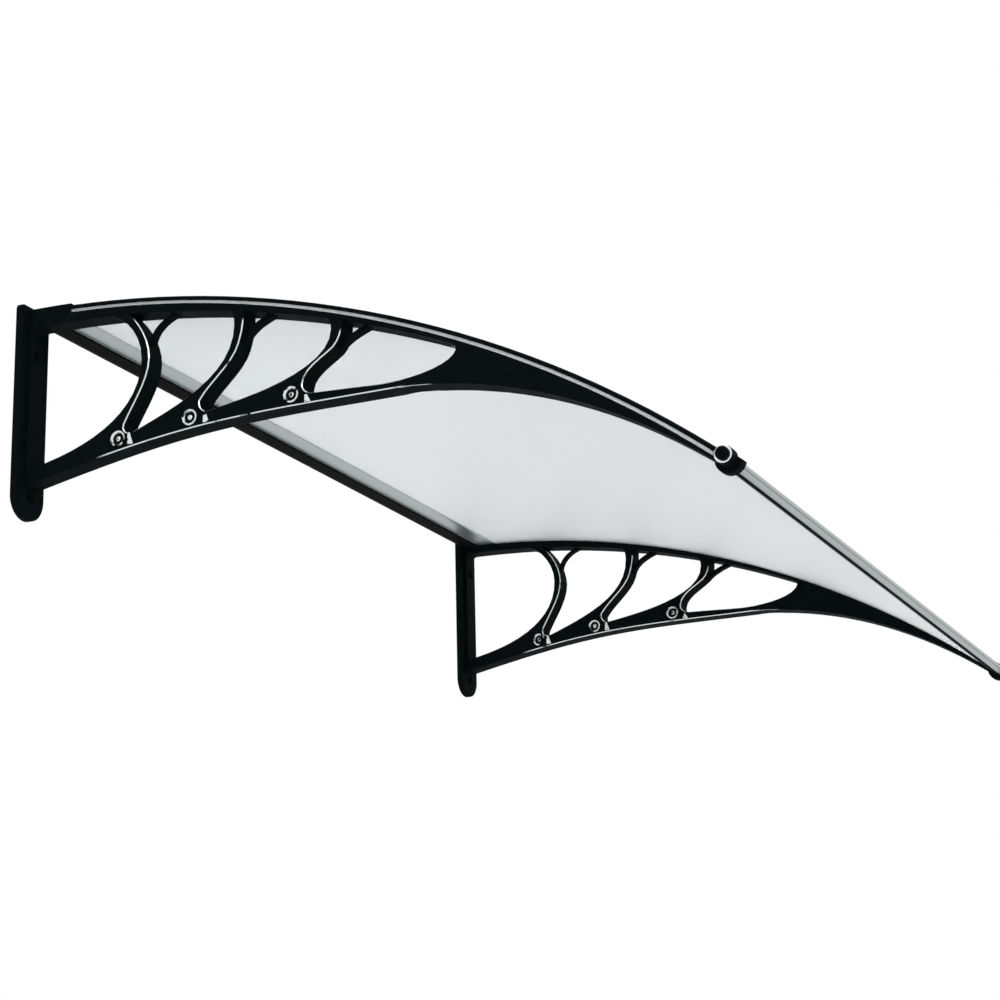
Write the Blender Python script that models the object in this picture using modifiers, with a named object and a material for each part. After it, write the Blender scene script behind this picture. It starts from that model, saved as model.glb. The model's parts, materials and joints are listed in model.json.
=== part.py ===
"""Door canopy: one arched polycarbonate sheet on two pierced side brackets.

Metres, +Z up, the wall is the plane y = 0 and the canopy reaches out along -Y.
Profiles are drawn as (out, up): out is the distance from the wall, up is the height.
"""

import math

import bmesh
import bpy
from mathutils import Matrix

# Fits
CLEAR = 0.0003
SCREW_CLEAR = 0.0003

# Overall
BRACKET_SPACING = 1.000
ARCH_RADIUS = 1.154
ARCH_CENTRE_UP = -1.1616
SHEET_THICKNESS = 0.003
SHEET_EDGE_INSET = 0.002
SHEET_PAST_BOLT = 0.0010
SHEET_SIDE_STEPS = 32

# Wall plate of a bracket
PLATE_WIDTH = 0.046
PLATE_DEPTH = 0.008
PLATE_TOP = 0.0037
PLATE_BOTTOM = -0.2145
PLATE_CORNER = 0.004
PLATE_HOLE_RADIUS = 0.0035
PLATE_SINK_RADIUS = 0.0065
PLATE_SINK_DEPTH = 0.003
UPPER_HOLE_UP = -0.046
MOUNT_DROP = 0.120

# Pierced side frame of a bracket
FRAME_THICKNESS = 0.024
FRAME_EDGE = 0.0009
POST_OUT = 0.012
HEAD_OUT = 0.057
HEAD_RISE = 0.0075
BEAM_DEPTH_REAR = 0.0100
BEAM_DEPTH_FRONT = 0.0042
BEAM_TAPER_FROM = 0.050
BEAM_TAPER_TO = 0.470
CHORD_REAR_UP = -0.184
CHORD_UP = -0.1478
CHORD_FLAT_FROM = 0.330
CHORD_KNEE_OUT = 0.430
TIP_OUT = 0.4755

# Struts: where each meets the beam (rear side, front side), and its foot on the chord
STRUT_TOPS = ((0.105, 0.126), (0.2435, 0.2540), (0.3475, 0.3590))
STRUT_FEET = (0.1225, 0.2065, 0.3175)
CHORD_TOPS = (-0.1620, -0.1450, -0.1380, -0.1385)

# Curved stays: root, two pulls (from the front of the strut at the beam), reach, width
STAY_THICKNESS = 0.008
STAYS = (
    ((0.0210, -0.0308), (0.0225, -0.0188), (0.0340, -0.0088), 0.050, 0.0036),
    ((-0.0040, -0.0291), (0.0000, -0.0181), (0.0100, -0.0111), 0.028, 0.0050),
    ((-0.0070, -0.0246), (-0.0020, -0.0186), (0.0070, -0.0126), 0.025, 0.0046),
)

# Ringed bosses at the strut feet, and the raised webs beside them (out, top, bottom)
BOSS_SPOTS = ((0.1165, -0.1510), (0.1965, -0.1420), (0.3060, -0.1370))
BOSS_RADIUS = 0.0083
BOSS_RISE = 0.0013
BOSS_RIM = 0.0026
BOSS_FLOOR = 0.0002
BOSS_DOT = 0.0026
WEB_SPOTS = ((0.1290, -0.1470, -0.1584), (0.2130, -0.1390, -0.1496), (0.3220, -0.1396, -0.1467))
WEB_TOP = 0.0012
WEB_FOOT = 0.0032
WEB_LEAN = 0.0018

# The blade in front of the chord is stepped back from both faces; the step fades out forwards
STEP_FROM = 0.416
STEP_TO = 0.496
STEP_DEPTH = 0.0013

# Front end
EYE_OUT = 0.723
EYE_RISE = 0.0040
EYE_RADIUS = 0.0085
EYE_THICKNESS = 0.0144
BOLT_RADIUS = 0.0030
BOLT_HEAD_RADIUS = 0.0046
BOLT_HEAD_HEIGHT = 0.0030
BOLT_BITE = 0.0080
WASHER_RADIUS = 0.0081
WASHER_THICKNESS = 0.0012
CAP_RADIUS = 0.0061
CAP_HEIGHT = 0.0052
SOCKET_RADIUS = 0.0132
SOCKET_FLAT = 0.0056
SOCKET_LENGTH = 0.0100
SPIGOT_LENGTH = 0.0220

# Front bar, in its own section: along the sheet, and up from it; zero on the bolt axis
BAR_REAR = -0.0120
BAR_NOSE = 0.0075
BAR_TOP = 0.0042
BAR_UNDER = -0.0009
BAR_LIP = -0.0049
BAR_GROOVE = 0.0006
BAR_WALL = 0.0015
GASKET_LEG = 0.0011
GASKET_REAR = -0.0112
GASKET_NOSE = 0.0062

# Rear bar
REAR_BACK = 0.0090
REAR_TOP = 0.0020
REAR_FRONT = 0.0318
REAR_LIP_OUT = 0.0445
REAR_WALL = 0.0016
REAR_CHAMBER = 0.0080
REAR_STRIP = 0.0020
REAR_UNDER = -0.0113
STUB_LENGTH = 0.0200
SEAL_RIB = 0.0006
SEAL_RAISE = 0.0063

# Cover strips and their screws
STRIP_THICKNESS = 0.0044
STRIP_CROWN = 0.0012
SCREW_OUTS = (0.092, 0.248, 0.352, 0.470, 0.600)
SCREW_HEAD_RADIUS = 0.0036
SCREW_HEAD_HEIGHT = 0.0018
SCREW_RADIUS = 0.0016
SCREW_BITE = 0.0060

HALF_SHEET = SHEET_THICKNESS / 2
HALF_FRAME = FRAME_THICKNESS / 2
EYE_INNER = EYE_THICKNESS - HALF_FRAME
OUTER_X = BRACKET_SPACING / 2 + FRAME_THICKNESS / 2
INNER_X = BRACKET_SPACING / 2 - FRAME_THICKNESS / 2
BEAM_TOP = -(HALF_SHEET + CLEAR)
BAR_REACH = OUTER_X - EYE_THICKNESS - SOCKET_LENGTH - 2 * CLEAR


def clear_scene():
    for item in list(bpy.data.objects):
        bpy.data.objects.remove(item)


def add_collection(name, helper=False):
    made = bpy.data.collections.new(name)
    bpy.context.scene.collection.children.link(made)
    made.hide_render = helper
    return made


clear_scene()
PARTS = add_collection("Door canopy")
CUTTERS = add_collection("Cutters", helper=True)


def add_material(name, colour, roughness, metallic=0.0, transmission=0.0):
    material = bpy.data.materials.new(name)
    material.use_nodes = True
    shader = material.node_tree.nodes["Principled BSDF"]
    shader.inputs["Base Color"].default_value = (*colour, 1.0)
    shader.inputs["Roughness"].default_value = roughness
    shader.inputs["Metallic"].default_value = metallic
    shader.inputs["Transmission Weight"].default_value = transmission
    return material


BLACK_PLASTIC = add_material("Black moulded plastic", (0.02, 0.022, 0.022), 0.3)
BLACK_RUBBER = add_material("Black rubber", (0.015, 0.015, 0.015), 0.7)
CLEAR_SHEET = add_material("Polycarbonate", (0.85, 0.9, 0.92), 0.15, 0.0, 0.8)
ALUMINIUM = add_material("Satin aluminium", (0.6, 0.62, 0.63), 0.35, 1.0)
STEEL = add_material("Zinc plated steel", (0.7, 0.7, 0.7), 0.3, 1.0)


def mesh_object(name, mesh, material, collection):
    made = bpy.data.objects.new(name, mesh)
    if material:
        made.data.materials.append(material)
    collection.objects.link(made)
    if collection is CUTTERS:
        made.display_type = "WIRE"
        made.hide_render = True
    return made


def tidy_mesh(mesh):
    shell = bmesh.new()
    shell.from_mesh(mesh)
    bmesh.ops.remove_doubles(shell, verts=shell.verts, dist=0.00001)
    bmesh.ops.recalc_face_normals(shell, faces=shell.faces)
    shell.to_mesh(mesh)
    shell.free()


def close_slivers(mesh):
    """Where cuts leave a gap as thin as a hair between three corners, its corners are joined."""
    tidy_mesh(mesh)
    shell = bmesh.new()
    shell.from_mesh(mesh)
    rims = [edge for edge in shell.edges if len(edge.link_faces) == 1]
    corners = list({corner for edge in rims for corner in edge.verts})
    bmesh.ops.remove_doubles(shell, verts=corners, dist=CLEAR / 2)
    shell.to_mesh(mesh)
    shell.free()
    tidy_mesh(mesh)


def apply_modifiers(item):
    graph = bpy.context.evaluated_depsgraph_get()
    mesh = bpy.data.meshes.new_from_object(item.evaluated_get(graph))
    item.modifiers.clear()
    item.data = mesh


def join_or_cut(item, other, operation, name):
    step = item.modifiers.new(name, "BOOLEAN")
    step.operation = operation
    step.solver = "EXACT"
    step.object = other


def section(name, loops, x0, x1, material=None, collection=PARTS, edge=0.0):
    """A closed profile, with any holes, drawn as (out, up) and drawn out along X."""
    curve = bpy.data.curves.new(name, "CURVE")
    curve.dimensions = "2D"
    curve.fill_mode = "BOTH"
    curve.extrude = (x1 - x0) / 2 - edge
    curve.bevel_depth = edge
    curve.bevel_resolution = 0
    curve.offset = -edge
    for loop in loops:
        spline = curve.splines.new("POLY")
        spline.points.add(len(loop) - 1)
        for point, (out, up) in zip(spline.points, loop):
            point.co = (out, up, 0.0, 1.0)
        spline.use_cyclic_u = True
    guide = bpy.data.objects.new(name + " curve", curve)
    CUTTERS.objects.link(guide)
    graph = bpy.context.evaluated_depsgraph_get()
    mesh = bpy.data.meshes.new_from_object(guide.evaluated_get(graph))
    bpy.data.objects.remove(guide)
    bpy.data.curves.remove(curve)
    middle = (x0 + x1) / 2
    for vertex in mesh.vertices:
        out, up, across = vertex.co
        vertex.co = (middle + across, -out, up)
    tidy_mesh(mesh)
    mesh.materials.clear()
    return mesh_object(name, mesh, material, collection)


def turned(name, profile, steps, material=None, collection=PARTS):
    """A body of revolution about X. The profile is (along X, radius), rear end first."""
    mesh = bpy.data.meshes.new(name)
    points = [(along, 0.0, radius) for along, radius in profile]
    mesh.from_pydata(points, [(i, i + 1) for i in range(len(points) - 1)], [])
    made = mesh_object(name, mesh, None, collection)
    spin = made.modifiers.new("Turn", "SCREW")
    spin.axis = "X"
    spin.steps = steps
    spin.render_steps = steps
    spin.use_merge_vertices = True
    spin.merge_threshold = 0.0001
    apply_modifiers(made)
    tidy_mesh(made.data)
    made.data.materials.clear()
    if material:
        made.data.materials.append(material)
    return made


def place_turned(item, x, out, up):
    item.data.transform(Matrix.Translation((x, -out, up)))
    return item


def mirror_copy(item, name):
    mesh = item.data.copy()
    mesh.transform(Matrix.Scale(-1.0, 4, (1, 0, 0)))
    tidy_mesh(mesh)
    return mesh_object(name, mesh, None, PARTS)


def arc(centre, radius, start, end, steps):
    """Points on a circle, angles in degrees, both ends included."""
    points = []
    for i in range(steps + 1):
        angle = math.radians(start + (end - start) * i / steps)
        points.append((centre[0] + radius * math.cos(angle), centre[1] + radius * math.sin(angle)))
    return points


def bezier(start, pull_start, pull_end, end, steps):
    """Points on a cubic curve, first end left out so that curves can follow each other."""
    points = []
    for i in range(1, steps + 1):
        t = i / steps
        a = (1 - t) ** 3
        b = 3 * (1 - t) ** 2 * t
        c = 3 * (1 - t) * t * t
        d = t ** 3
        out = a * start[0] + b * pull_start[0] + c * pull_end[0] + d * end[0]
        up = a * start[1] + b * pull_start[1] + c * pull_end[1] + d * end[1]
        points.append((out, up))
    return points


# The arch that the sheet lies on

def arch_angle(out, offset=0.0):
    return math.asin(out / (ARCH_RADIUS + offset))


def arch_point(angle, offset=0.0):
    reach = ARCH_RADIUS + offset
    return (reach * math.sin(angle), ARCH_CENTRE_UP + reach * math.cos(angle))


def arch_at(out, offset=0.0):
    return arch_point(arch_angle(out, offset), offset)


def arch_sweep(start, end, offset, steps):
    return [arch_point(start + (end - start) * i / steps, offset) for i in range(steps + 1)]


def arch_run(out0, out1, offset, steps):
    return arch_sweep(arch_angle(out0, offset), arch_angle(out1, offset), offset, steps)


def beam_under(out):
    part = (out - BEAM_TAPER_FROM) / (BEAM_TAPER_TO - BEAM_TAPER_FROM)
    part = min(max(part, 0.0), 1.0)
    depth = BEAM_DEPTH_REAR + (BEAM_DEPTH_FRONT - BEAM_DEPTH_REAR) * part
    return arch_at(out, BEAM_TOP)[1] - depth


def under_run(out0, out1, steps):
    outs = [out0 + (out1 - out0) * i / steps for i in range(steps + 1)]
    return [(out, beam_under(out)) for out in outs]


EYE_OFFSET = EYE_RISE
EYE_ANGLE = arch_angle(EYE_OUT, EYE_OFFSET)
EYE = arch_point(EYE_ANGLE, EYE_OFFSET)


def from_eye(along, rise):
    """A point beside the front bolt: along the sheet, and up from it."""
    cos, sin = math.cos(EYE_ANGLE), math.sin(EYE_ANGLE)
    return (EYE[0] + along * cos + rise * sin, EYE[1] - along * sin + rise * cos)


def around_eye(radius, start, end, steps):
    return [from_eye(out, up) for out, up in arc((0.0, 0.0), radius, start, end, steps)]


# Profiles of the pierced side frame

def frame_outline():
    root = PLATE_DEPTH - 0.005
    head_top = arch_run(root, HEAD_OUT, HEAD_RISE, 4)
    beam_rise = BEAM_TOP - EYE_OFFSET
    meet = math.degrees(math.asin(beam_rise / EYE_RADIUS))
    beam_end = from_eye(EYE_RADIUS * math.cos(math.radians(180 - meet)), beam_rise)
    beam = arch_run(HEAD_OUT, beam_end[0], BEAM_TOP, SHEET_SIDE_STEPS)
    eye = around_eye(EYE_RADIUS, 180 - meet, -95, 18)
    heel = eye[-1]
    knee = (CHORD_KNEE_OUT, CHORD_UP)
    blade = bezier(heel, (heel[0] - 0.087, heel[1] + 0.066), (knee[0] + 0.105, knee[1] - 0.008), knee, 18)
    flat = [(CHORD_FLAT_FROM, CHORD_UP)]
    rear = (root, CHORD_REAR_UP)
    chord = bezier(flat[0], (CHORD_FLAT_FROM - 0.13, CHORD_UP),
                   (rear[0] + 0.137, rear[1] + 0.028), rear, 14)
    return head_top + beam + eye[1:] + blade + flat + chord


def strut_side(top, shoulder, foot, foot_slope, pull_down, pull_back, steps=12):
    """The rear side of a strut: straight down from its shoulder, then back along the chord."""
    first = (shoulder[0], shoulder[1] - pull_down)
    run = math.hypot(1.0, foot_slope)
    last = (foot[0] + pull_back / run, foot[1] + pull_back * foot_slope / run)
    return [top] + bezier(shoulder, first, last, foot, steps)


def opening_1():
    """Between the wall post and the first strut, whose head curls back under the beam."""
    low = (POST_OUT + 0.023, CHORD_TOPS[0])
    top_out = STRUT_TOPS[0][0]
    top = (top_out, beam_under(top_out))
    shoulder = (top_out + 0.0355, top[1] - 0.050)
    curl = bezier(top, (top[0] + 0.012, top[1] - 0.002), (shoulder[0], shoulder[1] + 0.027), shoulder, 7)
    side = strut_side(shoulder, shoulder, low, 0.22, 0.0505, 0.0567, 12)
    turn = (POST_OUT + 0.005, low[1] - 0.0039)
    heel = [turn] + bezier(turn, (POST_OUT + 0.001, turn[1] - 0.0009), (POST_OUT, turn[1] + 0.001),
                           (POST_OUT, turn[1] + 0.005), 3)
    head = (POST_OUT + 0.006, beam_under(POST_OUT + 0.006))
    jamb = (POST_OUT, head[1] - 0.006)
    corner = bezier(jamb, (POST_OUT, jamb[1] + 0.004), (POST_OUT + 0.002, head[1]), head, 4)
    crown = under_run(head[0], top_out, 4)
    return [jamb] + corner + crown[1:] + curl + side[1:] + heel


def opening_2():
    foot = (STRUT_FEET[0], -0.137)
    top = (STRUT_TOPS[0][1], beam_under(STRUT_TOPS[0][1]))
    stem = (top[0] + 0.0237, top[1] - 0.0488)
    rise = bezier(foot, (foot[0] + 0.009, foot[1] + 0.018), (stem[0], stem[1] - 0.022), stem, 7)
    curl = bezier(stem, (stem[0], stem[1] + 0.018), (top[0] + 0.012, top[1] - 0.012), top, 6)
    next_top = STRUT_TOPS[1][0]
    crown = under_run(top[0], next_top - 0.006, 6)
    shoulder = (next_top, beam_under(next_top) - 0.014)
    corner = bezier(crown[-1], (next_top - 0.002, crown[-1][1] - 0.0006),
                    (next_top, shoulder[1] + 0.010), shoulder, 4)
    low = (STRUT_FEET[0] + 0.0105, CHORD_TOPS[1] - 0.001)
    side = strut_side(shoulder, shoulder, low, 0.38, 0.051, 0.048, 12)
    heel = bezier(low, (low[0] - 0.006, low[1] - 0.0024), (foot[0] - 0.003, foot[1] - 0.007), foot, 5)
    return [foot] + rise + curl + crown[1:] + corner + side[1:] + heel[:-1]


def opening_3():
    foot = (STRUT_FEET[1], -0.127)
    top = (STRUT_TOPS[1][1], beam_under(STRUT_TOPS[1][1]))
    stem = (top[0] - 0.0050, top[1] - 0.0311)
    rise = bezier(foot, (foot[0] + 0.010, foot[1] + 0.016), (stem[0] - 0.006, stem[1] - 0.020), stem, 7)
    up = bezier(stem, (stem[0] + 0.004, stem[1] + 0.012), (top[0], top[1] - 0.010), top, 3)
    next_top = STRUT_TOPS[2][0]
    crown = under_run(top[0], next_top - 0.006, 5)
    shoulder = (next_top, beam_under(next_top) - 0.010)
    corner = bezier(crown[-1], (next_top - 0.002, crown[-1][1] - 0.0008),
                    (next_top, shoulder[1] + 0.007), shoulder, 4)
    low = (STRUT_FEET[1] + 0.0095, CHORD_TOPS[2])
    side = strut_side(shoulder, shoulder, low, 0.158, 0.0408, 0.0385, 12)
    heel = bezier(low, (low[0] - 0.006, low[1] - 0.001), (foot[0] - 0.001, foot[1] - 0.006), foot, 5)
    return [foot] + rise + up + crown[1:] + corner + side[1:] + heel[:-1]


def opening_4():
    """The last one narrows forwards to a round end between the blade and the beam."""
    foot = (STRUT_FEET[2], -0.128)
    top = (STRUT_TOPS[2][1], beam_under(STRUT_TOPS[2][1]))
    stem = (top[0] - 0.0092, top[1] - 0.0250)
    rise = bezier(foot, (foot[0] + 0.001, foot[1] + 0.014), (stem[0] - 0.012, stem[1] - 0.009), stem, 6)
    up = bezier(stem, (stem[0] + 0.006, stem[1] + 0.006), (top[0], top[1] - 0.012), top, 4)
    crown = under_run(top[0], TIP_OUT - 0.008, 5)
    turn = (TIP_OUT, crown[-1][1] - 0.0075)
    nose = bezier(crown[-1], (TIP_OUT - 0.002, crown[-1][1] - 0.0014),
                  (TIP_OUT + 0.0004, turn[1] + 0.003), turn, 4)
    low = (TIP_OUT - 0.0755, CHORD_TOPS[3] - 0.003)
    sweep = bezier(turn, (TIP_OUT - 0.0035, turn[1] - 0.0125), (low[0] + 0.040, low[1]), low, 8)
    heel_start = (foot[0] + 0.0125, CHORD_TOPS[3])
    heel = bezier(heel_start, (heel_start[0] - 0.007, heel_start[1]),
                  (foot[0] - 0.001, foot[1] - 0.006), foot, 5)
    return [foot] + rise + up + crown[1:] + nose + sweep + [heel_start] + heel[:-1]


def stay_profile(front, root, pull_root, pull_reach, reach, width):
    """A thin curved stay from the strut up and out to the beam, beside a small window."""
    up = beam_under(front)
    landing = (front + reach, beam_under(front + reach) + 0.0015)
    start, first, last = [(front + out, up + rise) for out, rise in (root, pull_root, pull_reach)]
    spine = [start] + bezier(start, first, last, landing, 9)
    left = []
    right = []
    for i, (out, rise) in enumerate(spine):
        before = spine[max(i - 1, 0)]
        after = spine[min(i + 1, len(spine) - 1)]
        run = math.hypot(after[0] - before[0], after[1] - before[1])
        side = ((before[1] - after[1]) / run * width / 2, (after[0] - before[0]) / run * width / 2)
        left.append((out + side[0], rise + side[1]))
        right.append((out - side[0], rise - side[1]))
    return right + left[::-1]


def web_profile(out, top, bottom):
    """A raised web from the foot of a strut down to the lower edge, wider at its foot."""
    foot = out + WEB_LEAN
    return [(out - WEB_TOP, top), (foot - WEB_FOOT, bottom), (foot + WEB_FOOT, bottom), (out + WEB_TOP, top)]


def blade_step(side):
    """A shallow wedge that steps the blade back from one face along a curved line."""
    start = (STEP_FROM, CHORD_UP - 0.0015)
    end = (STEP_TO - 0.010, CHORD_UP + 0.0180)
    line = bezier(start, (start[0] + 0.024, start[1] + 0.002), (end[0] - 0.022, end[1] - 0.0125), end, 10)
    low = CHORD_UP - 0.024
    loop = [start] + line + [(STEP_TO + 0.003, end[1] + 0.010), (STEP_TO + 0.003, low), (STEP_FROM, low)]
    wedge = section(f"blade step {side}", [loop], 0.0, 0.002, None, CUTTERS)
    for vertex in wedge.data.vertices:
        share = (STEP_TO + vertex.co.y) / (STEP_TO - STEP_FROM)
        depth = STEP_DEPTH * share if vertex.co.x < 0.001 else -0.002
        vertex.co.x = side * (HALF_FRAME - depth)
    tidy_mesh(wedge.data)
    return wedge


def stand_on_arch(item, x, out, offset):
    """Turns a body made about X so that its axis stands square on the sheet."""
    angle = arch_angle(out)
    base = arch_point(angle, offset)
    upright = Matrix.Rotation(-math.pi / 2, 4, "Y")
    lean = Matrix.Rotation(angle, 4, "X")
    item.data.transform(Matrix.Translation((x, -base[0], base[1])) @ lean @ upright)
    return item


def bracket_left():
    loops = [frame_outline(), opening_1(), opening_2(), opening_3(), opening_4()]
    body = section("bracket_left", loops, -HALF_FRAME, HALF_FRAME, BLACK_PLASTIC, PARTS, FRAME_EDGE)

    half = PLATE_WIDTH / 2
    lobe = PLATE_BOTTOM + half
    outline = arc((0.0, lobe), half, 180, 360, 16)
    outline += arc((half - PLATE_CORNER, PLATE_TOP - PLATE_CORNER), PLATE_CORNER, 0, 90, 3)
    outline += arc((-half + PLATE_CORNER, PLATE_TOP - PLATE_CORNER), PLATE_CORNER, 90, 180, 3)
    plate = section("plate", [outline], 0.0, PLATE_DEPTH, None, CUTTERS, FRAME_EDGE)
    plate.data.transform(Matrix(((0, -1, 0, 0), (-1, 0, 0, 0), (0, 0, 1, 0), (0, 0, 0, 1))))
    tidy_mesh(plate.data)
    join_or_cut(body, plate, "UNION", "Wall plate")

    for side in (-1, 1):
        join_or_cut(body, blade_step(side), "DIFFERENCE", f"Blade step {side}")

    for number, ((rear, front), stay) in enumerate(zip(STRUT_TOPS, STAYS), 1):
        profile = stay_profile(front, *stay)
        strip = section(f"stay {number}", [profile], -STAY_THICKNESS / 2, STAY_THICKNESS / 2, None, CUTTERS)
        join_or_cut(body, strip, "UNION", f"Stay {number}")

    crest = HALF_FRAME + BOSS_RISE
    floor = HALF_FRAME + BOSS_FLOOR
    for number, (out, up) in enumerate(BOSS_SPOTS, 1):
        side = [(floor + BOSS_RISE / 2, 0.0), (floor + BOSS_RISE / 2, BOSS_DOT * 0.7), (floor, BOSS_DOT),
                (floor, BOSS_RADIUS - BOSS_RIM), (crest, BOSS_RADIUS - BOSS_RIM * 0.7),
                (crest, BOSS_RADIUS - 0.0003), (floor, BOSS_RADIUS)]
        profile = [(-along, radius) for along, radius in side] + side[::-1]
        boss = turned(f"boss {number}", profile, 12, None, CUTTERS)
        place_turned(boss, 0.0, out, up)
        join_or_cut(body, boss, "UNION", f"Boss {number}")

    for number, spot in enumerate(WEB_SPOTS, 1):
        web = section(f"web {number}", [web_profile(*spot)], -crest, crest, None, CUTTERS)
        join_or_cut(body, web, "UNION", f"Web {number}")

    stub = section("bar stub", [stub_outline()], HALF_FRAME - 0.004, HALF_FRAME + STUB_LENGTH, None, CUTTERS)
    join_or_cut(body, stub, "UNION", "Rear bar stub")

    slot_top = arch_run(REAR_BACK + 0.007, HEAD_OUT + 0.010, HALF_SHEET + CLEAR, 5)
    slot_floor = arch_run(REAR_BACK + 0.007, HEAD_OUT + 0.010, BEAM_TOP, 5)
    slot_from = -HALF_FRAME + SHEET_EDGE_INSET - CLEAR
    slot = section("sheet slot", [slot_top + slot_floor[::-1]], slot_from, HALF_FRAME + 0.002, None, CUTTERS)
    join_or_cut(body, slot, "DIFFERENCE", "Sheet slot")

    room = socket_room("socket room", CLEAR)
    join_or_cut(body, room, "DIFFERENCE", "Room for the socket")

    bore = turned("bolt bore", [(-0.02, 0.0), (-0.02, BOLT_RADIUS + CLEAR),
                                (0.02, BOLT_RADIUS + CLEAR), (0.02, 0.0)], 16, None, CUTTERS)
    place_turned(bore, 0.0, *EYE)
    join_or_cut(body, bore, "DIFFERENCE", "Front bolt hole")

    for number, up in enumerate((lobe, UPPER_HOLE_UP), 1):
        sink = PLATE_DEPTH if number == 1 else POST_OUT
        deep = sink + 0.006
        profile = [(-0.001, 0.0), (-0.001, PLATE_HOLE_RADIUS), (sink - PLATE_SINK_DEPTH, PLATE_HOLE_RADIUS),
                   (sink + 0.0002, PLATE_SINK_RADIUS), (deep, PLATE_SINK_RADIUS), (deep, 0.0)]
        hole = turned(f"wall screw hole {number}", profile, 16, None, CUTTERS)
        hole.data.transform(Matrix.Translation((0, 0, up)) @ Matrix.Rotation(-math.pi / 2, 4, "Z"))
        join_or_cut(body, hole, "DIFFERENCE", f"Wall screw hole {number}")

    for number, out in enumerate(SCREW_OUTS, 1):
        hole = turned(f"screw hole {number}", [
            (-SCREW_BITE - 0.0004, 0.0), (-SCREW_BITE - 0.0004, SCREW_RADIUS + SCREW_CLEAR),
            (0.004, SCREW_RADIUS + SCREW_CLEAR), (0.004, 0.0)], 10, None, CUTTERS)
        stand_on_arch(hole, 0.0, out, BEAM_TOP)
        join_or_cut(body, hole, "DIFFERENCE", f"Strip screw hole {number}")

    apply_modifiers(body)
    close_slivers(body.data)
    return body


def socket_room(name, gap):
    """The space that the front socket takes on the inner side of the eye."""
    radius = SOCKET_RADIUS + gap
    room = turned(name, [(EYE_INNER, 0.0), (EYE_INNER, radius), (HALF_FRAME + 0.002, radius),
                         (HALF_FRAME + 0.002, 0.0)], 28, None, CUTTERS)
    return place_turned(room, 0.0, *EYE)


def stub_outline():
    """The tongue on the bracket that fills the chamber of the rear bar."""
    gap = REAR_WALL + CLEAR
    low = REAR_UNDER + REAR_STRIP + gap
    return [(REAR_BACK + gap, low), (REAR_BACK + REAR_CHAMBER - gap, low),
            (REAR_BACK + REAR_CHAMBER - gap, REAR_TOP - gap), (REAR_BACK + gap, REAR_TOP - gap)]


def polycarbonate_sheet():
    rear_out = REAR_BACK + REAR_CHAMBER + CLEAR
    reach = OUTER_X - SHEET_EDGE_INSET
    rear = arch_angle(rear_out)
    front = EYE_ANGLE + SHEET_PAST_BOLT / ARCH_RADIUS
    top = arch_sweep(rear, front, HALF_SHEET, SHEET_SIDE_STEPS)
    under = arch_sweep(rear, front, -HALF_SHEET, SHEET_SIDE_STEPS)
    sheet = section("sheet", [top + under[::-1]], -reach, reach, CLEAR_SHEET)
    for side in (-1, 1):
        for label, inside, outside, back in (
            ("bracket", INNER_X - CLEAR, OUTER_X + 0.01, EYE_RADIUS + CLEAR),
            ("socket", BAR_REACH - CLEAR, OUTER_X - EYE_THICKNESS + CLEAR, SOCKET_RADIUS + CLEAR),
        ):
            x0, x1 = sorted((side * inside, side * outside))
            box = [from_eye(-back, -0.015), from_eye(0.02, -0.015), from_eye(0.02, 0.010),
                   from_eye(-back, 0.010)]
            notch = section(f"{label} notch {side}", [box], x0, x1, None, CUTTERS)
            join_or_cut(sheet, notch, "DIFFERENCE", f"Notch {label} {side}")
        for number, out in enumerate(SCREW_OUTS, 1):
            hole = turned(f"sheet hole {side} {number}", [
                (-0.004, 0.0), (-0.004, SCREW_RADIUS + 2 * SCREW_CLEAR),
                (0.004, SCREW_RADIUS + 2 * SCREW_CLEAR), (0.004, 0.0)], 10, None, CUTTERS)
            stand_on_arch(hole, side * BRACKET_SPACING / 2, out, 0.0)
            join_or_cut(sheet, hole, "DIFFERENCE", f"Screw hole {side} {number}")
    apply_modifiers(sheet)
    return sheet


def cover_strip_left():
    """A crowned bar that presses the sheet on to the frame."""
    low = HALF_SHEET + CLEAR
    high = low + STRIP_THICKNESS
    rear = HEAD_OUT + CLEAR
    front = from_eye(-EYE_RADIUS - 2 * CLEAR, low - EYE_OFFSET)[0]
    steps = 28
    half = HALF_FRAME
    across = [(-half, low), (half, low), (half, high - STRIP_CROWN), (half * 0.6, high),
              (-half * 0.6, high), (-half, high - STRIP_CROWN)]
    shell = bmesh.new()
    rings = []
    a0 = arch_angle(rear, low)
    a1 = arch_angle(front, low)
    for i in range(steps + 1):
        angle = a0 + (a1 - a0) * i / steps
        ring = []
        for x, offset in across:
            out, up = arch_point(angle, offset)
            ring.append(shell.verts.new((x, -out, up)))
        rings.append(ring)
    count = len(across)
    for first, second in zip(rings, rings[1:]):
        for i in range(count):
            j = (i + 1) % count
            shell.faces.new((first[i], first[j], second[j], second[i]))
    shell.faces.new(rings[0])
    shell.faces.new(rings[-1][::-1])
    bmesh.ops.recalc_face_normals(shell, faces=shell.faces)
    mesh = bpy.data.meshes.new("cover_strip_left")
    shell.to_mesh(mesh)
    shell.free()
    strip = mesh_object("cover_strip_left", mesh, BLACK_PLASTIC, PARTS)
    for number, out in enumerate(SCREW_OUTS, 1):
        hole = turned(f"strip hole {number}", [
            (-0.002, 0.0), (-0.002, SCREW_RADIUS + SCREW_CLEAR),
            (STRIP_THICKNESS + 0.002, SCREW_RADIUS + SCREW_CLEAR), (STRIP_THICKNESS + 0.002, 0.0)],
            10, None, CUTTERS)
        stand_on_arch(hole, 0.0, out, low)
        join_or_cut(strip, hole, "DIFFERENCE", f"Screw hole {number}")
    room = socket_room("strip room", 2 * CLEAR)
    join_or_cut(strip, room, "DIFFERENCE", "Room for the socket")
    apply_modifiers(strip)
    return strip


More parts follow.
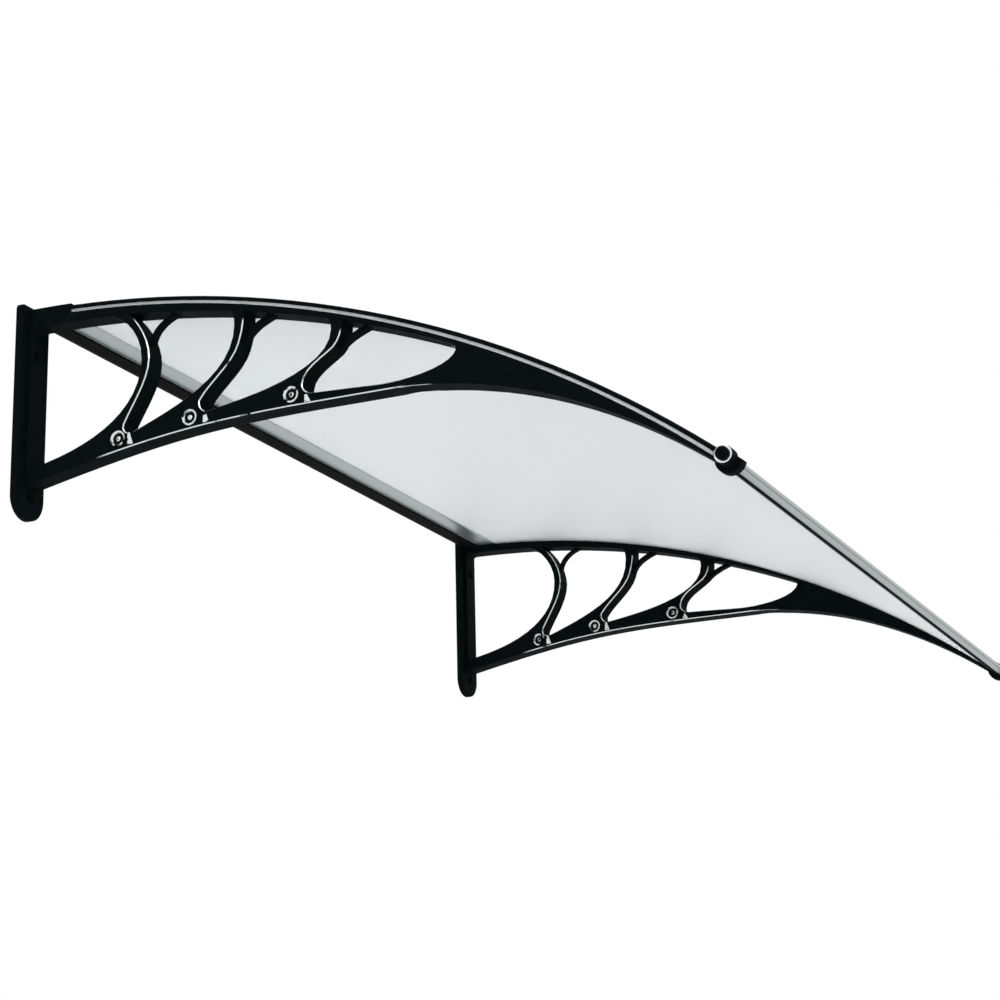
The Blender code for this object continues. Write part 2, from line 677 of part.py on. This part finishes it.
def strip_screw_left(number, out):
    seat = HALF_SHEET + CLEAR + STRIP_THICKNESS + CLEAR
    down = seat - BEAM_TOP + SCREW_BITE - CLEAR
    point = SCREW_RADIUS
    profile = [(-down, 0.0), (-down + point, SCREW_RADIUS), (0.0, SCREW_RADIUS),
               (0.0, SCREW_HEAD_RADIUS), (SCREW_HEAD_HEIGHT * 0.45, SCREW_HEAD_RADIUS),
               (SCREW_HEAD_HEIGHT * 0.85, SCREW_HEAD_RADIUS * 0.66), (SCREW_HEAD_HEIGHT, 0.0)]
    screw = turned(f"strip_screw_left_{number}", profile, 10, STEEL)
    return stand_on_arch(screw, 0.0, out, seat)


def bar_outline():
    """The front bar: a hollow nosed profile with a raised underside at the back."""
    nose = 0.0030
    points = [(BAR_REAR + 0.0008, BAR_TOP)]
    points += arc((BAR_NOSE - nose, BAR_TOP - nose), nose, 90, 0, 5)
    points += [(BAR_NOSE, BAR_GROOVE + 0.0004), (BAR_NOSE - 0.0006, BAR_GROOVE), (BAR_NOSE, BAR_GROOVE - 0.0004)]
    points += [(BAR_NOSE, BAR_LIP + 0.0008), (BAR_NOSE - 0.0008, BAR_LIP)]
    points += [(BAR_NOSE - 0.0036, BAR_LIP), (BAR_NOSE - 0.0036, BAR_UNDER)]
    points += [(BAR_REAR, BAR_UNDER), (BAR_REAR, BAR_TOP - 0.0008)]
    return [from_eye(along, rise) for along, rise in points]


def chamber_outline(gap=0.0):
    low = BAR_UNDER + BAR_WALL + gap
    high = BAR_TOP - BAR_WALL - gap
    rear = BAR_REAR + BAR_WALL + gap
    front = BAR_NOSE - BAR_WALL - gap
    corner = 0.0010
    points = [(rear, low), (front, low)]
    points += arc((front - corner, high - corner), corner, 0, 90, 3)
    points += [(rear, high)]
    return [from_eye(along, rise) for along, rise in points]


def front_bar():
    return section("front_bar", [bar_outline(), chamber_outline()], -BAR_REACH, BAR_REACH, ALUMINIUM)


def front_gasket():
    """A soft channel pushed on the front edge of the sheet, under the front bar."""
    mid = -EYE_OFFSET
    upper = mid + HALF_SHEET + CLEAR
    lower = mid - HALF_SHEET - CLEAR
    web = SHEET_PAST_BOLT + CLEAR
    lip = BAR_LIP - CLEAR
    step = BAR_NOSE - 0.0036 - CLEAR
    low = lower - GASKET_LEG
    points = [(GASKET_REAR, upper), (web, upper), (web, lower), (GASKET_REAR, lower),
              (GASKET_REAR, low + 0.0004), (GASKET_REAR + 0.0006, low), (GASKET_NOSE - 0.0008, low),
              (GASKET_NOSE, low + 0.0008), (GASKET_NOSE, lip), (step, lip), (step, BAR_UNDER - CLEAR),
              (GASKET_REAR, BAR_UNDER - CLEAR)]
    loop = [from_eye(along, rise) for along, rise in points]
    return section("front_bar_gasket", [loop], -BAR_REACH, BAR_REACH, BLACK_RUBBER)


def front_socket_left():
    """A collar against the bracket eye, with a tongue that fills the front bar."""
    start = EYE_INNER + CLEAR
    collar = turned("front_socket_left", [
        (0.0, 0.0), (0.0, SOCKET_RADIUS - 0.0006), (0.0006, SOCKET_RADIUS),
        (SOCKET_LENGTH - 0.0006, SOCKET_RADIUS), (SOCKET_LENGTH, SOCKET_RADIUS - 0.0006),
        (SOCKET_LENGTH, 0.0)], 24, BLACK_PLASTIC)
    place_turned(collar, start, *EYE)
    tongue = section("socket tongue", [chamber_outline(CLEAR)], start + SOCKET_LENGTH - 0.003,
                     start + SOCKET_LENGTH + SPIGOT_LENGTH, None, CUTTERS)
    join_or_cut(collar, tongue, "UNION", "Tongue")
    flat = [from_eye(-0.02, SOCKET_FLAT), from_eye(0.02, SOCKET_FLAT), from_eye(0.02, 0.02),
            from_eye(-0.02, 0.02)]
    slice_ = section("socket flat", [flat], start - 0.001, start + SOCKET_LENGTH + 0.001, None, CUTTERS)
    join_or_cut(collar, slice_, "DIFFERENCE", "Flat top")
    bore_end = start + BOLT_BITE + CLEAR
    bore = turned("socket bore", [(start - 0.002, 0.0), (start - 0.002, BOLT_RADIUS * 0.8 + CLEAR),
                                  (bore_end, BOLT_RADIUS * 0.8 + CLEAR), (bore_end, 0.0)], 16, None, CUTTERS)
    place_turned(bore, 0.0, *EYE)
    join_or_cut(collar, bore, "DIFFERENCE", "Bolt thread")
    apply_modifiers(collar)
    return collar


def front_bolt_left():
    """A stepped bolt: head outside the washer, plain shank in the bracket, end in the socket."""
    seat = -HALF_FRAME - CLEAR - WASHER_THICKNESS - CLEAR
    step = EYE_INNER - CLEAR
    end = EYE_INNER + CLEAR + BOLT_BITE
    thin = BOLT_RADIUS * 0.8
    bolt = turned("front_bolt_left", [
        (seat - BOLT_HEAD_HEIGHT, 0.0), (seat - BOLT_HEAD_HEIGHT, BOLT_HEAD_RADIUS - 0.0006),
        (seat - BOLT_HEAD_HEIGHT + 0.0006, BOLT_HEAD_RADIUS), (seat, BOLT_HEAD_RADIUS),
        (seat, BOLT_RADIUS), (step, BOLT_RADIUS), (step, thin), (end - 0.001, thin), (end, 0.0012),
        (end, 0.0)], 16, STEEL)
    return place_turned(bolt, 0.0, *EYE)


def front_washer_left():
    face = -HALF_FRAME - CLEAR
    bore = BOLT_RADIUS + CLEAR
    back = face - WASHER_THICKNESS
    washer = turned("front_washer_left", [
        (back, bore), (back, WASHER_RADIUS - 0.0004), (back + 0.0004, WASHER_RADIUS),
        (face, WASHER_RADIUS), (face, bore), (back, bore)], 18, STEEL)
    return place_turned(washer, 0.0, *EYE)


def front_cap_left():
    """A domed cap, hollow inside, that covers the bolt head."""
    back = -HALF_FRAME - CLEAR - WASHER_THICKNESS - CLEAR
    room = back - BOLT_HEAD_HEIGHT - CLEAR
    inside = BOLT_HEAD_RADIUS + CLEAR
    dome = back - CAP_HEIGHT
    cap = turned("front_cap_left", [
        (dome, 0.0), (dome + 0.0003, CAP_RADIUS * 0.40), (dome + 0.0012, CAP_RADIUS * 0.74),
        (dome + 0.0028, CAP_RADIUS), (back, CAP_RADIUS),
        (back, inside), (room, inside), (room, 0.0)], 18, BLACK_PLASTIC)
    return place_turned(cap, 0.0, *EYE)


def rear_base(drop=0.0):
    """The base of the rear bar: it falls under the chamber, then runs one wall below the sheet."""
    front = REAR_BACK + REAR_CHAMBER - REAR_WALL
    seat = -HALF_SHEET - CLEAR - REAR_WALL
    return [(REAR_BACK, REAR_UNDER + REAR_STRIP - drop), (front, arch_at(front, seat)[1] - drop),
            (REAR_FRONT, arch_at(REAR_FRONT, seat)[1] - drop)]


def rear_bar():
    """The wall bar: a chamber at the back and two lips that hold the rear edge of the sheet."""
    chamber_front = REAR_BACK + REAR_CHAMBER
    lip_under = arch_run(chamber_front, REAR_LIP_OUT, HALF_SHEET + CLEAR, 3)
    lip_top = [(out, up + REAR_WALL) for out, up in lip_under]
    shelf = arch_run(chamber_front, REAR_FRONT, -HALF_SHEET - CLEAR, 2)
    outline = rear_base() + shelf[::-1] + lip_under
    outline += [(REAR_LIP_OUT, lip_under[-1][1] + REAR_WALL * 0.6)] + lip_top[-2:0:-1]
    outline += [(chamber_front, REAR_TOP), (REAR_BACK, REAR_TOP)]
    gap = REAR_WALL
    low = REAR_UNDER + REAR_STRIP
    hollow = [(REAR_BACK + gap, low + gap), (chamber_front - gap, low + gap),
              (chamber_front - gap, REAR_TOP - gap), (REAR_BACK + gap, REAR_TOP - gap)]
    reach = INNER_X - CLEAR
    return section("rear_bar", [outline, hollow], -reach, reach, ALUMINIUM)


def rear_base_strip():
    corner = 0.0006
    under = rear_base(REAR_STRIP)
    low = under[-1][1]
    outline = under[:2] + [(REAR_FRONT - corner, low), (REAR_FRONT, low + corner)] + rear_base(CLEAR)[::-1]
    reach = INNER_X - CLEAR
    return section("rear_base_strip", [outline], -reach, reach, BLACK_RUBBER)


def wall_seal():
    """A ribbed rubber strip between the rear bar and the wall."""
    front = REAR_BACK - CLEAR
    low = REAR_UNDER + SEAL_RAISE
    high = REAR_TOP
    ribs = 3
    outline = [(front, low), (front, high)]
    pitch = (high - low) / ribs
    for i in range(ribs):
        top = high - i * pitch
        outline += [(SEAL_RIB * 2, top), (0.0, top - pitch * 0.3), (0.0, top - pitch * 0.6),
                    (SEAL_RIB * 2, top - pitch * 0.9)]
    outline += [(SEAL_RIB * 2, low)]
    reach = BRACKET_SPACING / 2 - PLATE_WIDTH / 2 - CLEAR
    return section("wall_seal", [outline], -reach, reach, BLACK_RUBBER)


def build():
    left = [bracket_left(), cover_strip_left(), front_socket_left(), front_bolt_left(),
            front_washer_left(), front_cap_left()]
    for number, out in enumerate(SCREW_OUTS, 1):
        left.append(strip_screw_left(number, out))
    for item in left:
        item.data.transform(Matrix.Translation((-BRACKET_SPACING / 2, 0, 0)))
        mirror_copy(item, item.name.replace("_left", "_right"))
    polycarbonate_sheet()
    front_bar()
    front_gasket()
    rear_bar()
    rear_base_strip()
    wall_seal()
    for item in PARTS.objects:
        item.data.transform(Matrix.Translation((BRACKET_SPACING / 2, 0, MOUNT_DROP)))


build()
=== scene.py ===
"""Looks of the polycarbonate door canopy: materials, the rear bar's lower lip, studio and camera."""
import json
import math

import bmesh
import bpy
from mathutils import Matrix, Vector


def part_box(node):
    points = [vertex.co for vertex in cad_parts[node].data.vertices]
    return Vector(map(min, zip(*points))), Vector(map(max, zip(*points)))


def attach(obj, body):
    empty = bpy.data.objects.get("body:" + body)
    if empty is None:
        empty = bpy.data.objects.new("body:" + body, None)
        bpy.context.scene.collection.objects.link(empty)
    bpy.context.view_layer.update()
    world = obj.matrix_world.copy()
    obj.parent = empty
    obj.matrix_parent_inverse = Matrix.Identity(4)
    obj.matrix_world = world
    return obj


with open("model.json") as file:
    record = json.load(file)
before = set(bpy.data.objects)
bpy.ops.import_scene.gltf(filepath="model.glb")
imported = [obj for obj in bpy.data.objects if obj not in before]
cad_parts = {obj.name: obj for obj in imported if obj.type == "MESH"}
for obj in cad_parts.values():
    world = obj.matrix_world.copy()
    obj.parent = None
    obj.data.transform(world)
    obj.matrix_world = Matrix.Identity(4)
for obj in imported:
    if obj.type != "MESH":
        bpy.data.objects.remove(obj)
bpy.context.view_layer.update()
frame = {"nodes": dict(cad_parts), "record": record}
NODES = frame["nodes"]
scene = bpy.context.scene

# The part's own places in metres, where out is the distance from the wall

BRACKET_LEFT_X, BRACKET_RIGHT_X = (mount["pos_m"][0] for mount in frame["record"]["mounts"])
MIDDLE_X = (BRACKET_LEFT_X + BRACKET_RIGHT_X) / 2
HALF_SPACING = (BRACKET_RIGHT_X - BRACKET_LEFT_X) / 2
ARCH_CENTRE_UP = -1.0416
ARCH_RADIUS = 1.154

# Lower lip of the rear bar

LIP_FROM = 0.0320
LIP_TO = 0.0560
LIP_TOP_RADIUS = ARCH_RADIUS - 0.0018
LIP_THICKNESS = 0.0009
LIP_TIP_SHARE = 0.6
LIP_STEPS = 8

# Where the brackets get painted highlights, each as lowest, highest and fade

CHAMFER_ACROSS = (0.55, 0.84, 0.12)
CHAMFER_OUT = (0.105, 0.412, 0.015)
CHAMFER_RADIUS = (0.9, 1.134, 0.005)
CREASE_ACROSS = (-1.0, 0.35, 0.1)
CREASE_ASIDE = (0.0100, 0.0124, 0.0002)
CREASE_OUT = (0.420, 0.495, 0.005)
CREASE_RADIUS = (0.9, 1.143, 0.001)
PROUD_OUT = (0.09, 0.40, 0.01)

# Limits between which a mask rises from 0 to 1

AWAY_FROM_STREET = (0.10, 0.35)
PROUD_ASIDE = (0.0124, 0.0130)
ABOVE_CREASE_FOOT = (0.0, 0.001)
# Noise levels that break the painted highlights into patches, on the chamfers and on the proud bosses and
# webs
CHAMFER_HIGHLIGHT_PATCHES = (0.28, 0.42)
PROUD_HIGHLIGHT_PATCHES = (0.40, 0.52)

# Line that the crease stays above: radius at a distance out, and how much it gains with the distance

CREASE_FOOT_OUT = 0.416
CREASE_FOOT_RADIUS = 1.0935
CREASE_FOOT_SLOPE = 0.40

# Studio

LAMP_TARGET = Vector((MIDDLE_X, -0.35, 0.02))
FLOOR_CENTRE = (MIDDLE_X, -0.4, -1.98)
FLOOR_HALF = 7.0
SKY = (0.97, 0.985, 1.0)
WHITE = (1.0, 1.0, 1.0)

# Camera, as solved from the photograph

LENS = 84.878
SENSOR_WIDTH = 36.0
CAMERA_PLACE = Vector((-1.8200, -1.3325, -0.7229))
CAMERA_RIGHT = Vector((0.41741, -0.90845, -0.02223))
CAMERA_UP = Vector((-0.24394, -0.13558, 0.96026))
CAMERA_FORWARD = Vector((0.87537, 0.39541, 0.27819))


# Node helpers

def new_material(name):
    material = bpy.data.materials.new(name)
    material.use_nodes = True
    tree = material.node_tree
    return material, tree, tree.nodes["Principled BSDF"]


def add(tree, kind, **values):
    """A new node. A name that starts with in_ sets a socket, any other name a property."""
    node = tree.nodes.new(kind)
    for key, value in values.items():
        if key.startswith("in_"):
            node.inputs[key[3:].replace("_", " ")].default_value = value
        else:
            setattr(node, key, value)
    return node


def grey(value):
    return (value, value, value)


def ramp(tree, source, low, high):
    """Fades between two stops, each a place from 0 to 1 and a colour."""
    node = add(tree, "ShaderNodeValToRGB")
    for element, (place, colour) in zip(node.color_ramp.elements, (low, high)):
        element.position = place
        element.color = (*colour, 1.0)
    tree.links.new(source, node.inputs["Fac"])
    return node.outputs["Color"]


def mixed(tree, mask, low, high):
    """The colour low where the mask is 0 and the fixed colour high where it is 1."""
    node = add(tree, "ShaderNodeMix", data_type="RGBA")
    factor, first, second = node.inputs[0], node.inputs[6], node.inputs[7]
    second.default_value = (*high, 1.0)
    tree.links.new(low, first)
    tree.links.new(mask, factor)
    return node.outputs[2]


def coordinates(tree):
    return add(tree, "ShaderNodeTexCoord").outputs["Object"]


def noise(tree, scale, detail=4.0, roughness=0.55, stretch=None):
    coords = coordinates(tree)
    if stretch:
        mapping = add(tree, "ShaderNodeMapping", in_Scale=stretch)
        tree.links.new(coords, mapping.inputs["Vector"])
        coords = mapping.outputs["Vector"]
    node = add(tree, "ShaderNodeTexNoise", in_Scale=scale, in_Detail=detail, in_Roughness=roughness)
    tree.links.new(coords, node.inputs["Vector"])
    return node.outputs["Fac"]


def bump(tree, shader, height, strength, distance):
    node = add(tree, "ShaderNodeBump", in_Strength=strength, in_Distance=distance)
    tree.links.new(height, node.inputs["Height"])
    tree.links.new(node.outputs["Normal"], shader.inputs["Normal"])


def calc(tree, operation, first, second=0.0):
    """A sum on one or two values, each a number or a socket."""
    node = add(tree, "ShaderNodeMath", operation=operation)
    for place, value in enumerate((first, second)):
        if isinstance(value, float):
            node.inputs[place].default_value = value
        else:
            tree.links.new(value, node.inputs[place])
    return node.outputs[0]


def rising(tree, value, low, high):
    """0 below low, 1 above high."""
    node = add(tree, "ShaderNodeMapRange", interpolation_type="SMOOTHSTEP", in_From_Min=low, in_From_Max=high)
    tree.links.new(value, node.inputs["Value"])
    return node.outputs["Result"]


def inverse(tree, mask):
    return calc(tree, "SUBTRACT", 1.0, mask)


def between(tree, value, low, high, fade):
    """1 from low to high, falling to 0 within fade on both sides."""
    above = rising(tree, value, low - fade, low)
    past = rising(tree, value, high, high + fade)
    return calc(tree, "MULTIPLY", above, inverse(tree, past))


def every(tree, *masks):
    """1 only where all the masks are 1."""
    made = masks[0]
    for mask in masks[1:]:
        made = calc(tree, "MULTIPLY", made, mask)
    return made


def square(tree, value):
    return calc(tree, "MULTIPLY", value, value)


# Materials

def painted_highlight_mask(tree):
    """Where a bracket gets painted highlights, bright metal in place of the light its edges catch: the
    fretwork's street-side chamfers, faces along the crease in the blade, and the bosses and webs that stand
    proud of the flat sides."""
    facing = add(tree, "ShaderNodeSeparateXYZ")
    tree.links.new(add(tree, "ShaderNodeNewGeometry").outputs["True Normal"], facing.inputs[0])
    place = add(tree, "ShaderNodeSeparateXYZ")
    tree.links.new(coordinates(tree), place.inputs[0])

    across = calc(tree, "ABSOLUTE", facing.outputs["X"])
    # Painted highlights only on faces that turn toward the street
    street = inverse(tree, rising(tree, facing.outputs["Y"], *AWAY_FROM_STREET))
    out = calc(tree, "MULTIPLY", place.outputs["Y"], -1.0)
    from_middle = calc(tree, "ABSOLUTE", calc(tree, "SUBTRACT", place.outputs["X"], MIDDLE_X))
    aside = calc(tree, "ABSOLUTE", calc(tree, "SUBTRACT", from_middle, HALF_SPACING))
    rise = calc(tree, "ADD", place.outputs["Z"], -ARCH_CENTRE_UP)
    radius = calc(tree, "SQRT", calc(tree, "ADD", square(tree, out), square(tree, rise)))
    # Noise breaks the painted highlights into patches
    patchy_chamfer_highlight = rising(tree, noise(tree, 60.0, 3.0, 0.6), *CHAMFER_HIGHLIGHT_PATCHES)
    patchy_proud_highlight = rising(tree, noise(tree, 110.0, 2.0, 0.5), *PROUD_HIGHLIGHT_PATCHES)

    # Painted highlight on the street-side chamfers of the fretwork
    chamfer = every(tree, between(tree, across, *CHAMFER_ACROSS), street, patchy_chamfer_highlight,
                    between(tree, out, *CHAMFER_OUT), between(tree, radius, *CHAMFER_RADIUS))
    # Painted highlight on the faces along the crease in the blade, kept above the crease's foot line
    foot = calc(tree, "ADD", calc(tree, "MULTIPLY", out, CREASE_FOOT_SLOPE),
                CREASE_FOOT_RADIUS - CREASE_FOOT_SLOPE * CREASE_FOOT_OUT)
    above_foot = rising(tree, calc(tree, "SUBTRACT", radius, foot), *ABOVE_CREASE_FOOT)
    crease = every(tree, between(tree, across, *CREASE_ACROSS), between(tree, aside, *CREASE_ASIDE),
                   between(tree, out, *CREASE_OUT), above_foot, between(tree, radius, *CREASE_RADIUS))
    # Painted highlight on the bosses and webs that stand proud of the flat sides
    proud = every(tree, rising(tree, aside, *PROUD_ASIDE), between(tree, out, *PROUD_OUT), patchy_proud_highlight)
    return calc(tree, "MAXIMUM", calc(tree, "MAXIMUM", chamfer, crease), proud)


def black_plastic(name, painted_highlights):
    material, tree, shader = new_material(name)
    shader.inputs["Specular IOR Level"].default_value = 0.008
    tone = noise(tree, 90.0, 6.0, 0.65)
    colour = ramp(tree, tone, (0.30, (0.0018, 0.0036, 0.0040)), (0.70, (0.0034, 0.0062, 0.0068)))
    gloss = ramp(tree, noise(tree, 35.0, 5.0, 0.6), (0.30, grey(0.50)), (0.75, grey(0.66)))
    if painted_highlights:
        # Painted highlights: where the mask is 1 the black plastic turns pale, glossy metal, so bright lines
        # show in any light
        mask = painted_highlight_mask(tree)
        colour = mixed(tree, mask, colour, (0.72, 0.77, 0.76))
        gloss = mixed(tree, mask, gloss, grey(0.24))
        tree.links.new(mask, shader.inputs["Metallic"])
    tree.links.new(colour, shader.inputs["Base Color"])
    tree.links.new(gloss, shader.inputs["Roughness"])
    bump(tree, shader, noise(tree, 900.0, 3.0, 0.7), 0.25, 0.0003)
    return material


def black_rubber():
    material, tree, shader = new_material("black_rubber")
    shader.inputs["Specular IOR Level"].default_value = 0.01
    shader.inputs["Roughness"].default_value = 0.62
    colour = ramp(tree, noise(tree, 140.0), (0.3, (0.0020, 0.0022, 0.0022)), (0.7, (0.0050, 0.0054, 0.0054)))
    tree.links.new(colour, shader.inputs["Base Color"])
    bump(tree, shader, noise(tree, 700.0, 2.0), 0.3, 0.0003)
    return material


def aluminium():
    material, tree, shader = new_material("satin_aluminium")
    shader.inputs["Metallic"].default_value = 1.0
    drawn = noise(tree, 60.0, 4.0, 0.6, stretch=(0.15, 12.0, 12.0))
    colour = ramp(tree, drawn, (0.3, (0.33, 0.375, 0.37)), (0.7, (0.43, 0.475, 0.47)))
    gloss = ramp(tree, drawn, (0.3, grey(0.30)), (0.7, grey(0.42)))
    tree.links.new(colour, shader.inputs["Base Color"])
    tree.links.new(gloss, shader.inputs["Roughness"])
    bump(tree, shader, drawn, 0.12, 0.0003)
    return material


def plated_steel():
    material, tree, shader = new_material("bright_zinc_plating")
    shader.inputs["Metallic"].default_value = 1.0
    shader.inputs["Roughness"].default_value = 0.20
    colour = ramp(tree, noise(tree, 220.0), (0.3, (0.70, 0.72, 0.73)), (0.7, (0.84, 0.86, 0.87)))
    tree.links.new(colour, shader.inputs["Base Color"])
    bump(tree, shader, noise(tree, 600.0, 2.0), 0.08, 0.0002)
    return material


def polycarbonate():
    material, tree, shader = new_material("polycarbonate")
    shader.inputs["Roughness"].default_value = 0.48
    shader.inputs["IOR"].default_value = 1.585
    shader.inputs["Specular IOR Level"].default_value = 0.15
    shader.inputs["Transmission Weight"].default_value = 0.60
    colour = ramp(tree, noise(tree, 2.2, 2.0, 0.4), (0.3, (0.955, 0.98, 0.985)), (0.7, (0.97, 0.99, 0.992)))
    tree.links.new(colour, shader.inputs["Base Color"])
    bump(tree, shader, noise(tree, 14.0, 2.0, 0.4), 0.03, 0.002)
    return material


def pale_floor():
    material, tree, shader = new_material("pale_floor")
    shader.inputs["Roughness"].default_value = 0.8
    colour = ramp(tree, noise(tree, 1.4, 2.0), (0.3, grey(0.86)), (0.7, grey(0.89)))
    tree.links.new(colour, shader.inputs["Base Color"])
    return material


# The brackets' black plastic, with painted highlights on edges, crease, bosses and webs
BRACKETS = black_plastic("black_moulded_bracket", True)
SLOTS = {
    "black_plastic": black_plastic("black_moulded_plastic", False),
    "black_rubber": black_rubber(),
    "aluminium": aluminium(),
    "plated_steel": plated_steel(),
    "polycarbonate": polycarbonate(),
}
for part in frame["record"]["subparts"]:
    finish = BRACKETS if part["node"].startswith("bracket") else SLOTS[part["material_slot"]]
    for material_slot in NODES[part["node"]].material_slots:
        material_slot.material = finish


def add_object(name, data):
    item = bpy.data.objects.new(name, data)
    scene.collection.objects.link(item)
    return item


def add_mesh(name, shell, material):
    mesh = bpy.data.meshes.new(name)
    shell.to_mesh(mesh)
    shell.free()
    mesh.materials.append(material)
    return add_object(name, mesh)


# The rear bar's lower lip, which shows as a grey band under the sheet

def lip_outline():
    """Angle and radius of each point: along the top to the street, and back underneath."""
    outs = [LIP_FROM + (LIP_TO - LIP_FROM) * i / LIP_STEPS for i in range(LIP_STEPS + 1)]
    angles = [math.asin(out / ARCH_RADIUS) for out in outs]
    top = [(angle, LIP_TOP_RADIUS) for angle in angles]
    under = [(angle, LIP_TOP_RADIUS - LIP_THICKNESS) for angle in angles]
    under[-1] = (angles[-1], LIP_TOP_RADIUS - LIP_THICKNESS * LIP_TIP_SHARE)
    return top + under[::-1]


def on_arch(x, angle, radius):
    return (x, -radius * math.sin(angle), ARCH_CENTRE_UP + radius * math.cos(angle))


def rear_lip():
    low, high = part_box("rear_bar")
    outline = lip_outline()
    count = len(outline)
    shell = bmesh.new()
    left, right = ([shell.verts.new(on_arch(x, *spot)) for spot in outline] for x in (low.x, high.x))
    for i in range(count):
        j = (i + 1) % count
        shell.faces.new((left[i], left[j], right[j], right[i]))
    for i in range(LIP_STEPS):
        for ring in (left, right):
            shell.faces.new((ring[i], ring[i + 1], ring[count - 2 - i], ring[count - 1 - i]))
    bmesh.ops.recalc_face_normals(shell, faces=shell.faces)
    item = add_mesh("rear_bar_lower_lip", shell, SLOTS["aluminium"])
    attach(item, "root")


# Studio

def studio():
    """Bluish light on the part, and plain white for what the camera, gloss and the sheet show."""
    world = bpy.data.worlds.new("studio")
    scene.world = world
    world.use_nodes = True
    tree = world.node_tree
    tree.nodes.clear()
    rays = add(tree, "ShaderNodeLightPath").outputs
    straight = calc(tree, "MAXIMUM", rays["Is Camera Ray"], rays["Is Transmission Ray"])
    shown = calc(tree, "MAXIMUM", straight, rays["Is Glossy Ray"])
    mix = add(tree, "ShaderNodeMixShader")
    tree.links.new(shown, mix.inputs["Fac"])
    for place, colour in ((1, SKY), (2, WHITE)):
        light = add(tree, "ShaderNodeBackground", in_Strength=1.0, in_Color=(*colour, 1.0))
        tree.links.new(light.outputs[0], mix.inputs[place])
    tree.links.new(mix.outputs[0], add(tree, "ShaderNodeOutputWorld").inputs["Surface"])


def lamp(name, place, size, power):
    data = bpy.data.lights.new(name, "AREA")
    data.shape = "DISK"
    data.size = size
    data.energy = power
    item = add_object(name, data)
    item.location = place
    item.rotation_euler = (LAMP_TARGET - Vector(place)).to_track_quat("-Z", "Y").to_euler()


def floor():
    shell = bmesh.new()
    bmesh.ops.create_grid(shell, x_segments=8, y_segments=8, size=FLOOR_HALF)
    item = add_mesh("floor", shell, pale_floor())
    item.location = FLOOR_CENTRE


def camera():
    data = bpy.data.cameras.new("camera")
    data.sensor_width = SENSOR_WIDTH
    data.lens = LENS
    item = add_object("camera", data)
    turn = Matrix((CAMERA_RIGHT, CAMERA_UP, -CAMERA_FORWARD)).transposed().to_4x4()
    item.matrix_world = Matrix.Translation(CAMERA_PLACE) @ turn
    scene.camera = item


rear_lip()
studio()
floor()
lamp("key", place=(-2.1, -3.0, 2.3), size=2.4, power=30)
lamp("top", place=(0.9, -0.6, 2.9), size=3.0, power=20)
camera()
scene.view_settings.view_transform = "Standard"
